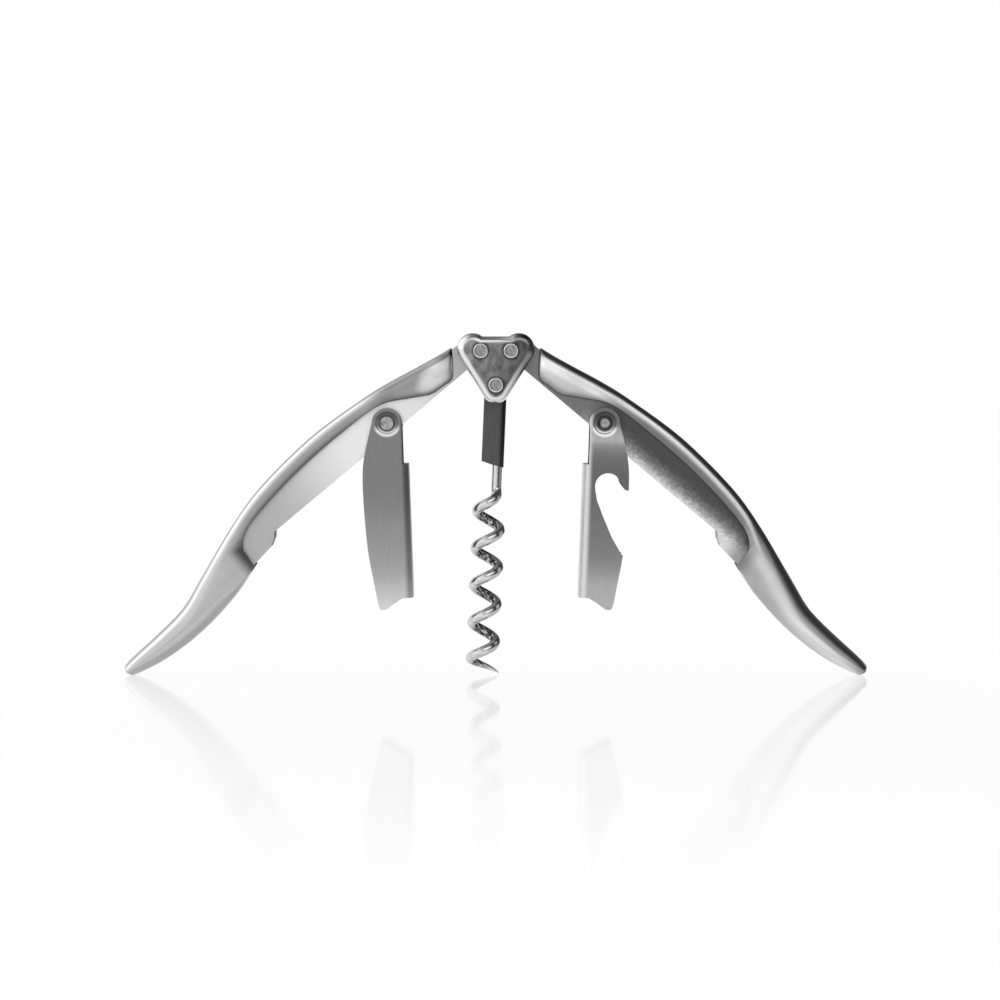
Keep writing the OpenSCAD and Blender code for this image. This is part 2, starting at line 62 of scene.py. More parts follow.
# Camera. The product is photographed square on, from just above the table, with a long
# lens, so the spread handles keep their true outline and the floor shows as a thin sheet.
picture_pixels = 1000
pixels_a_millimetre = 3.9
picture_width = picture_pixels / pixels_a_millimetre / 1000
camera_distance = 0.9
camera_rise = radians(2.5)
look_at = (0.00106, 0.0, 0.0449)
bpy.ops.object.camera_add(
    location=(
        look_at[0],
        look_at[1] - camera_distance * cos(camera_rise),
        look_at[2] + camera_distance * sin(camera_rise),
    ),
    rotation=(pi / 2 - camera_rise, 0, 0),
)
camera = bpy.context.object
sensor_width = 36
camera.data.sensor_width = sensor_width
camera.data.lens = sensor_width * camera_distance / picture_width
camera.data.clip_start = 0.01
bpy.context.scene.camera = camera
bpy.context.scene.view_settings.view_transform = "Standard"


# Studio. A white table runs out to a white room. The table is polished, so it mirrors the
# tool near where it stands, and the mirror image fades towards the viewer.
black, white = (0, 0, 0, 1), (1, 1, 1, 1)


class Socket:
    """A shader value, so that the maths of a material can be written as expressions."""

    def __init__(self, tree, link):
        self.tree = tree
        self.link = link

    def maths(self, operation, *values):
        return node(self.tree, "ShaderNodeMath", {"operation": operation}, {
            place: value for place, value in enumerate((self,) + values)})

    def __add__(self, other):
        return self.maths("ADD", other)

    __radd__ = __add__

    def __mul__(self, other):
        return self.maths("MULTIPLY", other)

    __rmul__ = __mul__

    def __sub__(self, other):
        return self.maths("SUBTRACT", other)

    def __rsub__(self, other):
        return (self * -1) + other

    def to(self, low, high):
        """0 at low, 1 at high, and even between them."""
        return node(self.tree, "ShaderNodeMapRange", {"clamp": True}, {
            "Value": self, "From Min": low, "From Max": high})

    def soft(self, low, high):
        """0 at low, 1 at high, with soft ends."""
        return node(self.tree, "ShaderNodeMapRange", {"interpolation_type": "SMOOTHSTEP"}, {
            "Value": self, "From Min": low, "From Max": high})


def node(tree, kind, settings=None, values=None, out=0):
    """Adds one shader node, sets it, and fills its sockets with numbers or links."""
    made = tree.nodes.new(kind)
    for name, value in (settings or {}).items():
        if name == "curve":
            line = made.mapping.curves[0]
            for spot in value[1:-1]:
                line.points.new(*spot)
            line.points[0].location, line.points[-1].location = value[0], value[-1]
            made.mapping.update()
        else:
            setattr(made, name, value)
    for name, value in (values or {}).items():
        if isinstance(value, Socket):
            tree.links.new(value.link, made.inputs[name])
        else:
            made.inputs[name].default_value = value
    return Socket(tree, made.outputs[out])


def new_material(name):
    """An empty material and its node tree."""
    material = bpy.data.materials.new(name)
    material.use_nodes = True
    material.node_tree.nodes.clear()
    return material, material.node_tree


def shade_of(tree, level):
    """A grey whose level, from 0 to 1, changes over the surface."""
    return node(tree, "ShaderNodeMix", {"data_type": "RGBA"}, {
        0: level, 6: black, 7: white}, out=2)


def light_rays(tree):
    """Whether the camera, a reflection or a clear piece is looking, each 0 or 1."""
    ray = tree.nodes.new("ShaderNodeLightPath")
    return [Socket(tree, ray.outputs[name]) for name in (
        "Is Camera Ray", "Is Glossy Ray", "Is Transmission Ray")]


def show(tree, shader, kind="ShaderNodeOutputMaterial"):
    """Makes a shader what the surface, or the world, shows."""
    node_out = tree.nodes.new(kind)
    tree.links.new(shader.link, node_out.inputs["Surface"])


table_size = 8
mirror_front, mirror_behind, mirror_beside = -0.37, 0.10, 0.22
mirror_full_front, mirror_full_beside = -0.01, 0.10
mirror_share = 0.30
near_glow, far_glow = 1.04, 0.10
glow_full_beside, glow_gone_beside = 0.08, 0.40
paint_level, paint_share = 0.6, 0.07
bpy.ops.object.select_all(action="DESELECT")
bpy.ops.mesh.primitive_plane_add(size=table_size, location=(0, 0, 0))
table = bpy.context.object
table.name = "table"
table_top, tree = new_material("polished white table")
place = node(tree, "ShaderNodeTexCoord", out=3)
sideways = node(tree, "ShaderNodeSeparateXYZ", values={0: place})
depth = node(tree, "ShaderNodeSeparateXYZ", values={0: place}, out=1)
mirror = depth.to(mirror_front, mirror_full_front) * depth.soft(mirror_behind, 0.0)
mirror = mirror * sideways.maths("ABSOLUTE").soft(mirror_beside, mirror_full_beside)
paint = node(tree, "ShaderNodeBsdfDiffuse", values={
    "Color": (paint_level, paint_level, paint_level, 1)})
polish = node(tree, "ShaderNodeBsdfAnisotropic", values={
    "Color": white, "Roughness": 0.06})
camera_ray, glossy_ray, clear_ray = light_rays(tree)
reach = far_glow + sideways.soft(glow_gone_beside, glow_full_beside) * (1 - far_glow)
glow = node(tree, "ShaderNodeEmission", values={
    "Color": shade_of(tree, reach + (1 - reach) * (camera_ray + clear_ray)),
    "Strength": near_glow})
lit = node(tree, "ShaderNodeMixShader", values={
    0: (camera_ray + glossy_ray + clear_ray) * (1 - paint_share), 1: paint, 2: glow})
show(tree, node(tree, "ShaderNodeMixShader", values={
    0: mirror * mirror_share, 1: lit, 2: polish}))
table.data.materials.append(table_top)

room_light, wall_light, softbox_light, window_light = 0.58, 0.75, 1.1, 0.75
fill_light = 0.75
brightest = 4.0
window_way, softbox_way = (-0.66, 0.10, 0.74), (0.30, -0.77, 0.56)
high_wall_shade, right_flag_shade, overhead_shade, behind_shade = 0.65, 0.85, 0.65, 0.35
world = bpy.data.worlds.new("white room")
bpy.context.scene.world = world
world.use_nodes = True
tree = world.node_tree
tree.nodes.clear()
camera_ray, glossy_ray, clear_ray = light_rays(tree)
way = node(tree, "ShaderNodeTexCoord", out=0)
towards = tree.nodes.new("ShaderNodeSeparateXYZ")
tree.links.new(way.link, towards.inputs[0])
side, ahead, height = (Socket(tree, towards.outputs[axis]) for axis in range(3))
left_wall = (side * -1).soft(0.0, 0.45) * (1 - height.soft(0.15, 0.60) * high_wall_shade)
right_flag = side.soft(0.05, 0.50)
window, softbox = (
    (side * x + ahead * y + height * z).soft(edge, 0.95)
    for (x, y, z), edge in ((window_way, 0.80), (softbox_way, 0.87)))
overhead = height.soft(0.62, 0.90)
behind = ahead.soft(0.25, 0.85)
backdrop = ahead.soft(0.75, 0.95) * (1 - height.soft(0.06, 0.22))
front = (room_light + left_wall * wall_light) * (1 - right_flag * right_flag_shade)
front = front + softbox * softbox_light
shade = (1 - overhead * overhead_shade) * (1 - behind * behind_shade)
mirrored = front * shade * (1 - backdrop) + backdrop + window * window_light
unlit, full, fill, seen = (
    node(tree, "ShaderNodeBackground", values={"Color": white, "Strength": strength})
    for strength in (0.0, brightest, fill_light, 1.0))
room = node(tree, "ShaderNodeMixShader", values={
    0: mirrored * (1 / brightest), 1: unlit, 2: full})
around = node(tree, "ShaderNodeMixShader", values={
    0: glossy_ray + clear_ray, 1: fill, 2: room})
show(tree, node(tree, "ShaderNodeMixShader", values={0: camera_ray, 1: around, 2: seen}),
     "ShaderNodeOutputWorld")

for lamp_name, spot, size, power in (
        ("left softbox", (-0.55, -0.75, 0.55), 0.45, 1.2),
        ("top softbox", (-0.05, -0.45, 0.75), 0.5, 0.8)):
    bpy.ops.object.light_add(type="AREA", location=spot)
    lamp = bpy.context.object
    lamp.name = lamp_name
    lamp.data.size = size
    lamp.data.energy = power
    lamp.visible_glossy = False
    lamp.rotation_euler = (Vector(look_at) - Vector(spot)).to_track_quat("-Z", "Y").to_euler()


# Liners. Each handle has a channel folded from bright stainless sheet: two cheeks, joined by
# a web under the spine. The head's rivet and the lever's rivet go through the cheeks, and the
# sheet is brushed along the handle before it is folded.
sheet_edge = 0.00012
same_place = 0.000002
smooth_below = radians(38)
sharp_above = radians(40)


def finished_copy(part, edge):
    """A copy of a CAD piece with its sheared edges eased, to carry the finish."""
    bpy.ops.object.select_all(action="DESELECT")
    nodes[part].select_set(True)
    bpy.context.view_layer.objects.active = nodes[part]
    bpy.ops.object.duplicate()
    piece = bpy.context.object
    bpy.ops.object.parent_clear(type="CLEAR_KEEP_TRANSFORM")
    for key in [key for key in piece.keys() if key.startswith("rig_")]:
        del piece[key]
    piece.name = part + "_finished"
    piece.data.materials.clear()
    bpy.ops.mesh.customdata_custom_splitnormals_clear()
    bpy.ops.object.mode_set(mode="EDIT")
    bpy.ops.mesh.select_all(action="SELECT")
    bpy.ops.mesh.remove_doubles(threshold=same_place)
    if edge:
        bpy.ops.mesh.dissolve_limited(angle_limit=radians(0.5))
    bpy.ops.object.mode_set(mode="OBJECT")
    if edge:
        easing = piece.modifiers.new("eased edges", "BEVEL")
        easing.width = edge
        easing.segments = 2
        easing.limit_method = "ANGLE"
        easing.angle_limit = sharp_above
        bpy.ops.object.modifier_apply(modifier=easing.name)
    bpy.ops.object.shade_smooth_by_angle(angle=smooth_below)
    if edge:
        flat = piece.modifiers.new("flat faces stay flat", "WEIGHTED_NORMAL")
        flat.keep_sharp = True
        flat.weight = 100
        bpy.ops.object.modifier_apply(modifier=flat.name)
    return piece


def fit(piece, material, body, finish, *replaced):
    """Gives a piece its material, and puts it on its body in place of the plain CAD piece; the
    finish is not used.
    """
    piece.data.materials.append(material)
    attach(piece, body)
    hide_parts(*replaced)


def profile(tree, value, points, low=0.0, high=1.0):
    """A level that follows a drawn line of (distance, level) points."""
    start, end = points[0][0], points[-1][0]
    drawn = [((x - start) / (end - start), (y - low) / (high - low)) for x, y in points]
    line = node(tree, "ShaderNodeFloatCurve", {"curve": drawn}, {"Value": value.to(start, end)})
    return line * (high - low) + low


def measured_from(tree, point, lean, facing=1):
    """Millimetres along, across and up from a point of the tool, on axes that lean."""
    place = node(tree, "ShaderNodeTexCoord", out=3)
    local = node(tree, "ShaderNodeMapping", {"vector_type": "TEXTURE"}, {
        "Vector": place, "Location": point, "Rotation": (0, lean, 0),
        "Scale": (0.001 * facing, 0.001, 0.001)})
    split = tree.nodes.new("ShaderNodeSeparateXYZ")
    tree.links.new(local.link, split.inputs[0])
    return [local] + [Socket(tree, split.outputs[axis]) for axis in range(3)]


def grain(tree, local, stretch, size, detail=3.0):
    """Noise from 0 to 1 with the given size in millimetres, drawn out by the stretch."""
    drawn = node(tree, "ShaderNodeMapping", values={
        "Vector": local, "Scale": tuple(1 / (size * s) for s in stretch)})
    return node(tree, "ShaderNodeTexNoise", values={
        "Vector": drawn, "Scale": 1.0, "Detail": detail, "Roughness": 0.6})


def steel(tree, colour, roughness, relief, depth, metal=1.0):
    """Bare steel with its colour, its dullness and the relief of its finish."""
    bump = node(tree, "ShaderNodeBump", values={
        "Strength": 1.0, "Distance": depth, "Height": relief})
    show(tree, node(tree, "ShaderNodeBsdfPrincipled", values={
        "Base Color": colour, "Metallic": metal, "Roughness": roughness, "Normal": bump}))


hinge_height = joints["right_handle_hinge"]["pos_m"][2]
hinge_out = joints["right_handle_hinge"]["pos_m"][0]
handle_lean = radians(40)

# A tone is a distance in millimetres and the level of grey there. The left cheek's run from
# the hinge along the handle, as painted reflection, brightest over the middle of the cheek. The
# right cheek is mottled, and painted reflection makes it lighter towards its edge.
brush_depth = 0.000012
left_cheek_painted_reflection = [
    (0, 0.45), (7, 0.50), (20, 0.85), (32, 0.95), (42, 0.95), (48, 0.86), (54, 0.74), (60, 0.62),
    (66, 0.55), (76, 0.52)]
right_cheek_painted_reflection = [
    (-6, 0.105), (-3.2, 0.11), (-2, 0.17), (-1, 0.27), (0, 0.45), (1, 0.72), (3, 0.85)]
right_neck_painted_reflection = [(0, 0.20), (18, 0.22), (30, 0.16), (34, 0)]

left_cheek, tree = new_material("brushed liner with painted reflection, left")
local, along, across, up = measured_from(
    tree, (-hinge_out, 0, hinge_height), -handle_lean, facing=-1)
brushing = grain(tree, local, (24, 1, 1), 0.22)
cloud = grain(tree, local, (2, 1, 1), 3.0)
level = profile(tree, along, left_cheek_painted_reflection)
level = level + (cloud - 0.5) * 0.05 + (brushing - 0.5) * 0.07
steel(tree, shade_of(tree, level), 0.40 + brushing * 0.14, brushing, brush_depth, metal=0.8)

right_cheek, tree = new_material("brushed liner with painted reflection, right")
local, along, across, up = measured_from(
    tree, (hinge_out, 0, hinge_height), handle_lean)
brushing = grain(tree, local, (14, 1, 1), 0.22)
speckle = grain(tree, local, (1.5, 1, 1), 0.7, 6)
# Painted reflection: darker near the spine, lighter towards the edge, and darker again at the
# neck by the hinge.
level = profile(tree, (speckle - 0.5) * 2.4 - up, right_cheek_painted_reflection)
level = level + (profile(tree, along, right_neck_painted_reflection) - level) * along.soft(34, 22)
# Mottle and brushing vary the grey, and painted shade darkens the cheek before the grip.
level = level * (0.60 + speckle * 0.56 + brushing * 0.22) * (1 - along.soft(73, 78) * 0.5)
steel(tree, shade_of(tree, level), 0.40 + brushing * 0.14, brushing + speckle, brush_depth,
      metal=0.9)

for side_name, material in (("left", left_cheek), ("right", right_cheek)):
    liner = finished_copy(side_name + "_handle_liner", sheet_edge)
    fit(liner, material, side_name + "_handle", "liner_steel", side_name + "_handle_liner")


# Handle shells. They are cast or pressed hollow steel, blasted to an even satin, and are
# slipped over the liners. Each has a leaf at the hinge, a band over the recess and a grip.
shell_border = [
    (5.4, 4.93), (6.14, 3.72), (7.62, 1.64), (10.1, -0.9), (13.3, -0.75), (16.5, -0.55),
    (19.2, 0.9), (22.4, 2.79), (25.9, 4.92), (29.4, 6.12), (34.05, 6.58), (46.4, 6.75),
    (54.3, 6.45), (62.7, 5.72), (68.6, 4.85), (73.1, 3.99), (76, 2.93), (78.3, 1.2),
    (79.25, -0.6), (86, -7), (96, -10)]
spine = [(5.4, 5.5), (9.1, 6.0), (15.3, 7.2), (22.7, 8.8), (30.1, 9.9), (43.9, 10.95),
         (53.8, 10.7), (64.7, 9.6), (71.6, 8.3), (79.5, 5.9), (84.7, 4.1), (93.3, 1.1),
         (101, -1.5), (109.7, -2.4), (118.3, -2.7), (122.6, -3.1)]
leaf_end, band_start, grip_start = 24, 33, 79.3
hollow_along, hollow_up = 12.5, 2.7
blast_depth = 0.00001
# Tones run from the spine down, with a painted highlight along the rounded edge and painted
# shade along the border. The leaf's hollow gets a painted highlight, the leaf's end and the step
# before the grip get painted shade, and the right shell's painted highlight stripe drops
# towards its grip.
shell_tones_and_painted_light = {
    "left": {
        "band": [(0, 0.34), (0.35, 0.48), (0.8, 0.80), (1.2, 0.72), (1.9, 0.44), (2.9, 0.36),
                 (4.1, 0.14), (5, 0.13)],
        "leaf": [(0, 0.50), (1.2, 0.36), (2, 0.36), (9, 0.36)],
        "grip": [(0, 0.36), (0.35, 0.50), (0.9, 0.78), (1.5, 0.60), (2.2, 0.53), (3.2, 0.52),
                 (10, 0.50)],
        "painted leaf highlight": 0.46, "end shade": 0.26, "step shade": 0.84, "painted stripe drop": 0.0},
    "right": {
        "band": [(0, 0.22), (0.9, 0.22), (1.4, 0.48), (1.9, 0.84), (2.3, 0.66), (2.9, 0.28),
                 (4.2, 0.18), (5, 0.15)],
        "leaf": [(0, 0.22), (1.0, 0.20), (2.0, 0.74), (3.1, 0.90), (4.3, 0.64), (5.4, 0.54),
                 (9, 0.50)],
        "grip": [(0, 0.30), (1, 0.24), (2, 0.34), (3, 0.54), (4, 0.74), (5, 0.76), (6, 0.66),
                 (7.5, 0.50), (10, 0.44)],
        "painted leaf highlight": 0.08, "end shade": 0.0, "step shade": 0.40, "painted stripe drop": 2.6}}
for side_name, facing in (("left", -1), ("right", 1)):
    tones = shell_tones_and_painted_light[side_name]
    satin, tree = new_material("satin shell, " + side_name)
    local, along, across, up = measured_from(
        tree, (facing * hinge_out, 0, hinge_height), facing * handle_lean, facing)
    blasting = grain(tree, local, (1, 1, 1), 0.16)
    handling = grain(tree, local, (5, 1, 1), 1.8)
    below = profile(tree, along, spine, -10, 12) - up
    above = up - profile(tree, along, shell_border, -10, 10)
    # Painted shade darkens the leaf towards its border.
    leaf = profile(tree, below, tones["leaf"]) * (0.40 + above.soft(-0.6, 2.6) * 0.60)
    beside, over = along - hollow_along, up - hollow_up
    # A painted highlight fills the hollow of the leaf, and painted shade darkens the top of its
    # end.
    glow = (beside * beside * 0.024 + over * over * 0.10).soft(1.3, 0)
    leaf = leaf + glow * tones["painted leaf highlight"]
    leaf = leaf - along.soft(12, 7.5) * up.soft(2.5, 4.5) * tones["end shade"]
    level = profile(tree, below - along.soft(72, 88) * tones["painted stripe drop"], tones["band"])
    level = level + (leaf - level) * along.soft(band_start, leaf_end)
    # Painted shade at the step before the grip.
    by_step = (along - grip_start).maths("ABSOLUTE").soft(4, 0.2) * up.soft(3.5, 0.5)
    grip = profile(tree, below, tones["grip"]) * (1 - by_step * tones["step shade"])
    on_grip = along.soft(grip_start - 1.2, grip_start + 0.2) * up.soft(4.5, 0.5)
    on_grip = on_grip.maths("MAXIMUM", along.soft(70, 90))
    level = level + (grip - level) * on_grip
    back = below.soft(1.2, 0.2) * across.maths("ABSOLUTE").soft(6.5, 4.5)
    level = (level + (0.50 - level) * back) * (0.74 + blasting * 0.34 + handling * 0.18)
    steel(tree, shade_of(tree, level), 0.28 + handling * 0.12, blasting, blast_depth)
    shell = finished_copy(side_name + "_handle_shell", 0)
    fit(shell, satin, side_name + "_handle", "shell_steel", side_name + "_handle_shell")


# Bottle rests, the levers. Each is one piece of 1.2 mm sheet, folded into a channel whose ears
# straddle the handle. The faces are brushed from end to end, and a dish is pressed round
# the rivet. The right one has the bottle opener.
lever_lean = radians(2.1)
pivot_out = joints["right_lever_swing"]["pos_m"][0]
pivot_height = joints["right_lever_swing"]["pos_m"][2]
sheet = 1.2
web_outside = -4.7
web_inside = web_outside + sheet
ear_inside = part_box("right_lever")[1][1] * 1000 - sheet
lever_brush_depth = 0.000014
fold_start, fold_full, fold_painted_highlight_level = -2.4, -3.8, 0.66
dish_inner, dish_outer = 2.0, 3.5
# Tones run from the rivet down, as painted reflection, lighter towards the bottom. The fold of
# the right lever has a painted highlight.
lever_tones_and_painted_light = {
    "left": [(-4, 0.26), (0, 0.26), (18, 0.26), (26, 0.32), (34, 0.39), (38, 0.45), (42, 0.58),
             (48, 0.78)],
    "right": [(-4, 0.19), (0, 0.22), (3.8, 0.52), (5.5, 0.36), (10, 0.19), (22, 0.20), (30, 0.24),
              (34, 0.27), (38, 0.36), (42, 0.48), (48, 0.52)]}
for side_name, facing, fold_painted_highlight in (("left", -1, 0.0), ("right", 1, 1.0)):
    brushed, tree = new_material("brushed lever, " + side_name)
    local, along, across, up = measured_from(
        tree, (facing * pivot_out, 0, pivot_height), facing * lever_lean, facing)
    brushing = grain(tree, local, (1, 1, 30), 0.20)
    cloud = grain(tree, local, (1, 1, 2), 4.0)
    level = profile(tree, up * -1, lever_tones_and_painted_light[side_name])
    level = level + (fold_painted_highlight_level - level) * along.soft(fold_start, fold_full) * fold_painted_highlight
    level = level * (0.80 + brushing * 0.30 + cloud * 0.10)
    radius = (along * along + up * up).maths("SQRT")
    dish = radius.soft(dish_inner, dish_inner + 0.3) * radius.soft(dish_outer, dish_outer - 0.8)
    # Painted shade: a dark ring round the rivet, and the upper side of the dish darker.
    level = level * (1 - radius.soft(dish_inner + 0.5, dish_inner + 0.1) * 0.6)
    level = level * (1 - dish * up.soft(0, 2) * 0.4)
    # Painted highlights on the lower side of the dish and its lip, and above the dish.
    lip = radius.soft(dish_outer - 0.9, dish_outer - 0.6)
    lip = lip * radius.soft(dish_outer + 0.3, dish_outer - 0.2)
    level = level + (dish + lip) * (up * -1).soft(0.3, 2.2) * 0.45
    level = level + radius.soft(dish_outer + 0.2, dish_outer + 0.6) * up.soft(-0.5, 1.5) * 0.30
    # Inside the channel, the ears and web are painted dark, as shade.
    inside = across.maths("ABSOLUTE").soft(ear_inside + 0.1, ear_inside)
    inside = inside * along.soft(web_inside - 0.1, web_inside)
    level = level + (brushing * 0.12 + 0.03 - level) * inside
    steel(tree, shade_of(tree, level), 0.34 + brushing * 0.16, brushing, lever_brush_depth)
    lever = finished_copy(side_name + "_lever", sheet_edge)
    fit(lever, brushed, side_name + "_lever", "lever_steel", side_name + "_lever")


# Lever rivets and bushes. A rivet is turned from bar and headed over the ears, which leaves
# a low rim. The bush keeps the cheeks apart. Tool marks run round both.
turned_steps = 72
tool_mark_depth = 0.000012
head_rise = 0.0006
lever_rivet_shank, lever_rivet_head = 0.0012, 0.0018
bush_level = 0.38


def turned(name, outline, axis_at):
    """A piece turned about a line across the tool, from its outline of radius and depth."""
    bpy.ops.object.select_all(action="DESELECT")
    bpy.ops.mesh.primitive_plane_add(size=0.001)
    piece = bpy.context.object
    piece.name = name
    bpy.ops.object.mode_set(mode="EDIT")
    bpy.ops.mesh.select_mode(type="VERT")
    bpy.ops.mesh.merge(type="CENTER")
    radius, depth = outline[0]
    bpy.ops.transform.translate(value=(radius, depth, 0))
    for radius_next, depth_next in outline[1:]:
        bpy.ops.mesh.extrude_region_move(TRANSFORM_OT_translate={
            "value": (radius_next - radius, depth_next - depth, 0)})
        radius, depth = radius_next, depth_next
    bpy.ops.object.mode_set(mode="OBJECT")
    # A Screw modifier lists the faces in the same order on every run, and spin does not.
    turning = piece.modifiers.new("turned in the lathe", "SCREW")
    turning.axis = "Y"
    turning.steps = turning.render_steps = turned_steps
    turning.use_merge_vertices = True
    turning.merge_threshold = same_place
    bpy.ops.object.modifier_apply(modifier=turning.name)
    bpy.ops.object.mode_set(mode="EDIT")
    bpy.ops.mesh.select_all(action="SELECT")
    bpy.ops.mesh.normals_make_consistent(inside=False)
    bpy.ops.transform.translate(value=axis_at)
    bpy.ops.object.mode_set(mode="OBJECT")
    bpy.ops.object.shade_smooth_by_angle(angle=smooth_below)
    return piece


def rivet_outline(shank, head, seat, rise):
    """Half of a rivet's section: a headed rim round a low, slightly sunk face."""
    front = [
        (0, -seat - 0.80 * rise), (0.50 * head, -seat - 0.82 * rise),
        (0.78 * head, -seat - 0.84 * rise), (0.84 * head, -seat - 0.95 * rise),
        (0.89 * head, -seat - rise), (0.94 * head, -seat - 0.93 * rise),
        (0.98 * head, -seat - 0.70 * rise), (head, -seat - 0.30 * rise), (head, -seat)]
    back = [(radius, -depth) for radius, depth in reversed(front)]
    return front + [(shank, -seat), (shank, seat)] + back


def turned_steel(name, centre, level, head=0.0, painted_rim_level=0.85):
    """Turned steel: fine rings about the centre, the bar's grain, and painted light on the rim.
    """
    material, tree = new_material(name)
    local, along, across, up = measured_from(tree, centre, 0)
    radius = (along * along + up * up).maths("SQRT")
    rings = (radius * 34 + grain(tree, local, (1, 1, 1), 0.6) * 5).maths("SINE")
    dirt = grain(tree, local, (1, 1, 1), 0.6)
    blotch = 1.6 if head else 0.5
    tone = level * (0.9 - blotch / 2 + dirt * blotch + rings * 0.08)
    dullness = 0.36 + dirt * 0.1
    if head:
        # Painted light on the rim, at a level given for each rivet: bright on the head rivets,
        # dark on the right lever's.
        rim = radius.soft(0.80 * head, 0.88 * head)
        tone, dullness = tone + (painted_rim_level - tone) * rim, dullness - rim * 0.16
    steel(tree, shade_of(tree, tone), dullness, rings * 0.5 + dirt, tool_mark_depth)
    return material


for side_name, facing, face_level, head_shown, rim_painted_level in (
        ("left", -1, 0.44, 1.8, 0.40), ("right", 1, 0.42, 1.35, 0.06)):
    centre = (facing * pivot_out, 0, pivot_height)
    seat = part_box(side_name + "_lever_rivet")[1][1] - head_rise
    rivet = turned(side_name + "_lever_rivet_turned",
                   rivet_outline(lever_rivet_shank, lever_rivet_head, seat, head_rise), centre)
    rivet_finish = turned_steel("turned rivet, " + side_name, centre, face_level, head_shown,
                                rim_painted_level)
    fit(rivet, rivet_finish, side_name + "_lever", "rivet_steel", side_name + "_lever_rivet")
    nodes[side_name + "_lever_bush"].data.materials.clear()
    nodes[side_name + "_lever_bush"].data.materials.append(
        turned_steel("turned bush, " + side_name, centre, bush_level))


# Worm. It is wound from 2.6 mm wire as a right-hand coil, ground to a point that keeps to the
# outside of the coil, and then polished. It hangs a little out of plumb.
worm_height = joints["worm_swing"]["pos_m"][2]
worm_lean = radians(2.4)
wire = 0.0026
coil_axis = -0.00045
shank_radius = 0.00165
coil_radius = 0.00305
coil_start = 0.0277
pitch = 0.00955
turns = 4.85
bend = 0.0016
point = 0.8 * pitch
point_curl = 0.13
point_fineness = 4
worm_smooth_below = radians(50)
finest_share = 0.10
steps_a_turn = 44
drawn_depth = 0.000014


def eased(value, low, high):
    """0 up to low, 1 from high, with soft ends."""
    share = min(max((value - low) / (high - low), 0), 1)
    return share * share * (3 - 2 * share)


def along_point(down):
    """How far along the ground point a depth lies, from 0 to 1."""
    return max((down - coil_start - pitch * turns + point) / point, 0)


def wire_at(down):
    """The wire's middle and its radius, at a distance below the rivet of the worm."""
    past = down - coil_start
    wound = 0 if past < -bend else (past + bend) ** 2 / (4 * bend) if past < bend else past
    turn = -2 * pi * (wound / pitch + point_curl * along_point(down) ** 2)
    thick = wire / 2 * max(1 - along_point(down) ** point_fineness, finest_share)
    share = eased(down, coil_start - bend, coil_start + pitch / 2)
    reach = shank_radius + (coil_radius - shank_radius) * share + wire / 2 - thick
    x, y, z = coil_axis + reach * cos(turn), reach * sin(turn), -down
    return (x * cos(worm_lean) + z * sin(worm_lean), y,
            worm_height - x * sin(worm_lean) + z * cos(worm_lean)), thick


shank_depths = [0.0112, 0.016, 0.020, 0.0235]
coil_steps = int((turns * pitch + bend) / pitch * steps_a_turn)
depths = shank_depths + [coil_start - 1.2 * bend]
depths += [coil_start - bend + (turns * pitch + bend) * step / coil_steps
           for step in range(coil_steps + 1)]
bpy.ops.object.select_all(action="DESELECT")
bpy.ops.curve.primitive_bezier_curve_add()
worm = bpy.context.object
worm.name = "worm_polished"
bpy.ops.object.mode_set(mode="EDIT")
bpy.ops.curve.select_all(action="SELECT")
bpy.ops.curve.delete(type="VERT")
for down in depths:
    bpy.ops.curve.vertex_add(location=wire_at(down)[0])
bpy.ops.curve.select_all(action="SELECT")
bpy.ops.curve.spline_type_set(type="POLY")
bpy.ops.object.mode_set(mode="OBJECT")
line = worm.data.splines[0]
for bead, down in zip(line.points, depths):
    bead.radius = wire_at(down)[1] / (wire / 2)
worm.data.dimensions = "3D"
worm.data.bevel_depth = wire / 2
worm.data.bevel_resolution = 10
worm.data.use_fill_caps = True
bpy.ops.object.convert(target="MESH")
worm = bpy.context.object
bpy.ops.object.mode_set(mode="EDIT")
bpy.ops.mesh.select_all(action="SELECT")
bpy.ops.mesh.remove_doubles(threshold=same_place)
bpy.ops.mesh.normals_make_consistent(inside=False)
bpy.ops.object.mode_set(mode="OBJECT")
bpy.ops.object.transform_apply(location=True, rotation=True, scale=True)
bpy.ops.object.shade_smooth_by_angle(angle=worm_smooth_below)
polish, tree = new_material("polished wire with painted shade")
local, along, across, up = measured_from(tree, (0, 0, worm_height), worm_lean)
drawing = grain(tree, local, (1, 1, 1), 0.8)
# The inside of the coil, below where it starts, is painted dark, as shade, speckled by the drawn
# grain.
from_axis = along - coil_axis * 1000
inside = (from_axis * from_axis + across * across).maths("SQRT").soft(3.5, 2.3)
inside = inside * (up * -1).soft(26, 29)
level = 0.62 - inside * (0.52 - drawing.soft(0.44, 0.62) * 0.45)
steel(tree, shade_of(tree, level), 0.07 + drawing * 0.08, drawing, drawn_depth)
fit(worm, polish, "worm", "worm_steel", "worm_screw")


# Tang. A dark strip folded round the shank of the worm, with its fold at the right. It is
# brushed from end to end, and hangs from the lowest rivet of the head.
tang_finish, tree = new_material("dark brushed tang")
local, along, across, up = measured_from(tree, (0, 0, worm_height), worm_lean)
brushing = grain(tree, local, (1, 1, 30), 0.18)
cloud = grain(tree, local, (1, 1, 1.5), 2.0)
# The fold at the right is painted darker, as shade on its turn.
fold_painted_shade = along.soft(1.75, 2.0)
level = (0.11 - fold_painted_shade * 0.045) * (0.55 + brushing * 0.65 + cloud * 0.25)
steel(tree, shade_of(tree, level), 0.36 + brushing * 0.14, brushing, brush_depth)
tang = finished_copy("worm_tang", sheet_edge)
fit(tang, tang_finish, "worm", "tang_steel", "worm_tang")


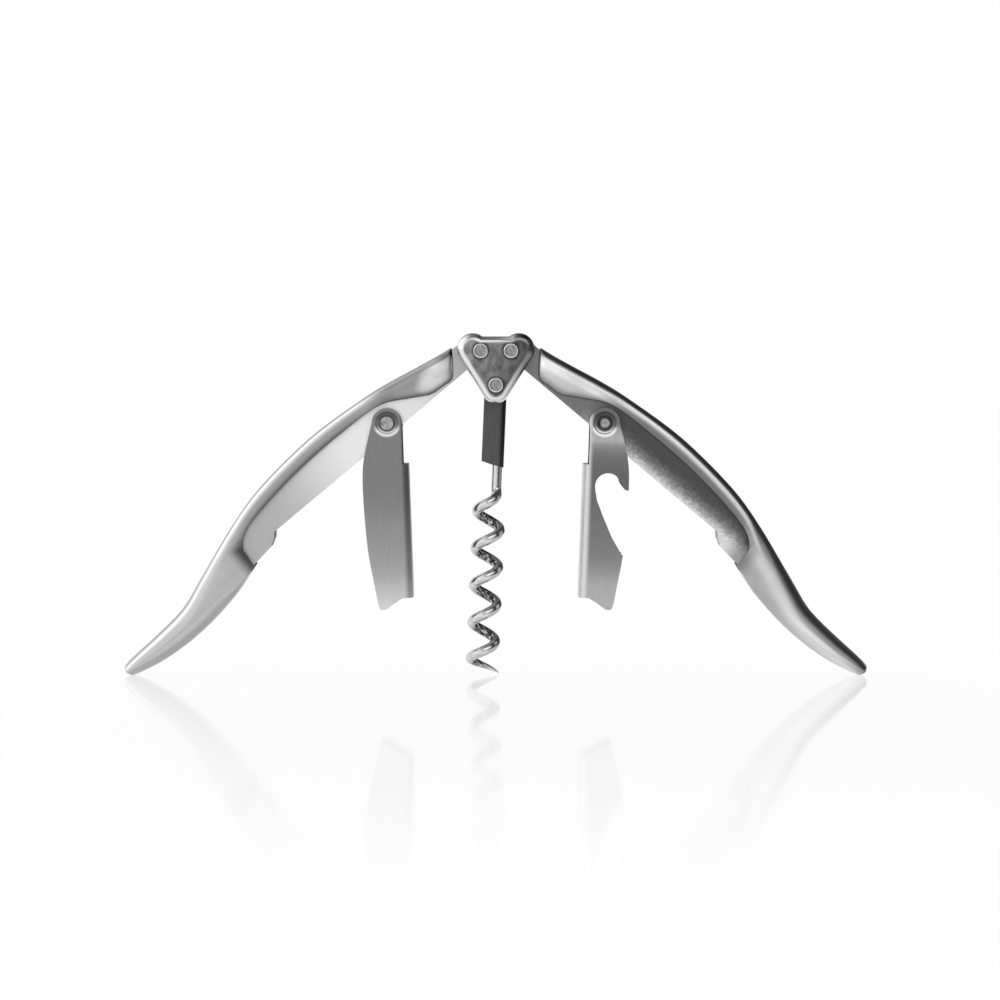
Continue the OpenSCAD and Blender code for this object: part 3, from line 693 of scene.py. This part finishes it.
# Head. Two pressed cover plates with rounded edges hold the handles and the worm between
# them. Bushes and collars keep their distance, and three turned rivets are headed over the
# covers. The plates are darker than the handles and finely blasted.
cover_blast_depth = 0.000009
head_rivet_shank, head_rivet_head = 0.0014, 0.0019
head_rivet_level = 0.36
rivet_places = {
    "left_hinge_rivet": (-hinge_out, 0, hinge_height),
    "right_hinge_rivet": (hinge_out, 0, hinge_height),
    "worm_rivet": (0, 0, worm_height)}

collar_finish = turned_steel("turned collar", (0, 0, worm_height), bush_level)
for part in ("worm_collar_front", "worm_collar_rear"):
    nodes[part].data.materials.clear()
    nodes[part].data.materials.append(collar_finish)
for side_name in ("left", "right"):
    nodes[side_name + "_hinge_bush"].data.materials.clear()
    nodes[side_name + "_hinge_bush"].data.materials.append(turned_steel(
        "turned hinge bush, " + side_name, rivet_places[side_name + "_hinge_rivet"], bush_level))

cover_finish, tree = new_material("blasted cover with painted light")
local, along, across, up = measured_from(tree, (0, 0, hinge_height), 0)
blasting = grain(tree, local, (1, 1, 1), 0.15)
cloud = grain(tree, local, (1, 1, 1.4), 2.2)
turned_out = node(tree, "ShaderNodeSeparateXYZ", values={
    0: node(tree, "ShaderNodeTexCoord", out=1)}, out=1).maths("ABSOLUTE")
rolled_edge = turned_out.soft(0.995, 0.92)
# The face is painted darker towards the right, as shade, and blasting and clouding vary it.
face = (0.20 - along * 0.010) * (blasting * 0.45 + cloud.soft(0.25, 0.75) * 0.9 + 0.30)
# A painted shadow round each rivet.
for x, y, z in rivet_places.values():
    beside, above = along - x * 1000, up - (z - hinge_height) * 1000
    radius = (beside * beside + above * above).maths("SQRT")
    face = face * (1 - radius.soft(2.7, 2.0) * 0.6)
# The rolled edge is polished lighter, and painted light makes it lighter at the left and darker
# to the right and at the top.
rim = 0.80 - along.soft(2, 8) * 0.52 - up.soft(2.6, 3.6) * 0.22
level = face + (rim - face) * rolled_edge
steel(tree, shade_of(tree, level), 0.36 - rolled_edge * 0.14 + cloud * 0.08, blasting,
      cover_blast_depth)
for part in ("head_cover_front", "head_cover_rear"):
    cover = finished_copy(part, 0)
    fit(cover, cover_finish, "head", "cover_steel", part)

for part, centre in rivet_places.items():
    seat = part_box(part)[1][1] - head_rise
    rivet = turned(part + "_turned",
                   rivet_outline(head_rivet_shank, head_rivet_head, seat, head_rise), centre)
    rivet_finish = turned_steel("turned " + part, centre, head_rivet_level,
                                head_rivet_head * 1000)
    fit(rivet, rivet_finish, "head", "rivet_steel", part)
